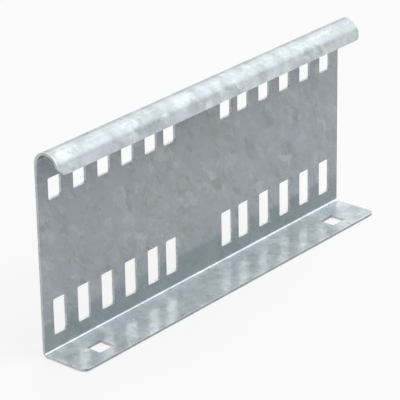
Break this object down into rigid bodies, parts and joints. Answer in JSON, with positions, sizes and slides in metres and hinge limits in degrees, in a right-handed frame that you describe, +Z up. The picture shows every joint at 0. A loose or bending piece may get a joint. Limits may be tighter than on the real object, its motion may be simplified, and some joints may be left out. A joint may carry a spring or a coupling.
{
  "type": "cable tray connector",
  "caption": "Folded sheet-steel side connector for a cable tray, with a bottom flange, rows of bolt slots and a rolled hook along its top edge.",
  "frame": {"origin": "middle of the plate's length and depth, on the underside of the flange", "axes": "+X along the plate towards the end with the plain lip corner, +Y out of the flat back, +Z up from the flange to the rolled hook"},
  "size_m": [0.2, 0.0234, 0.0934],
  "materials": {
    "galvanised_sheet": "strip-galvanised, cool grey, soft sheen with faint spangle"
  },
  "bodies": {
    "root": {"connector_plate": "galvanised_sheet"}
  },
  "joints": []
}
